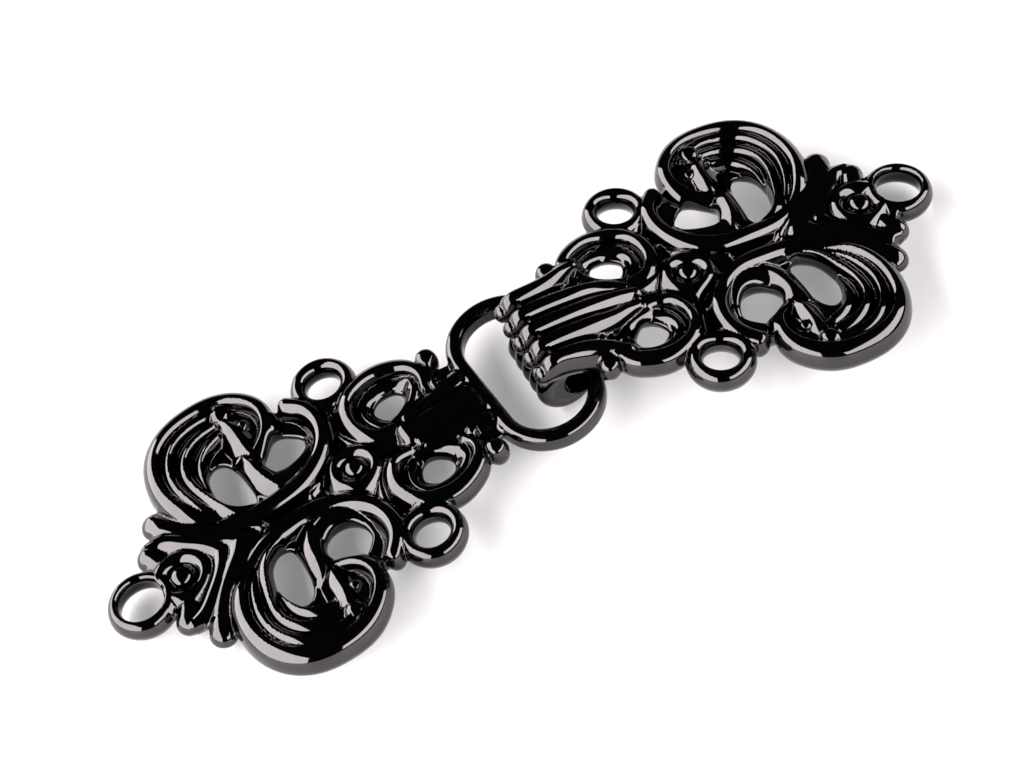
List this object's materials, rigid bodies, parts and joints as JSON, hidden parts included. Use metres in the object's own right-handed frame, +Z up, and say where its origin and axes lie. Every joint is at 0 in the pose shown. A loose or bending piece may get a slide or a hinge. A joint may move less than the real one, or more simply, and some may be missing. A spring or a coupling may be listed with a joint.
{
  "type": "hook and eye clasp",
  "caption": "Black decorative hook and eye clasp of two pierced scroll castings, hooked together, with three sewing rings on each half.",
  "frame": {"origin": "on the table, under the middle of the hooked clasp", "axes": "+X along the eye half towards the hook half, +Y across, +Z up"},
  "size_m": [0.0775, 0.0323, 0.0083],
  "materials": {
    "black_metal": "black nickel, mirror gloss"
  },
  "bodies": {
    "eye": {"eye_half": "black_metal"},
    "hook": {"hook_half": "black_metal"}
  },
  "joints": [
    {"name": "hook_swing", "type": "hinge", "parent": "eye", "child": "hook", "pos_m": [0.00476, 0.00049, 0.00261], "axis": [0, 1, 0], "range_deg": [-30, 90]}
  ]
}
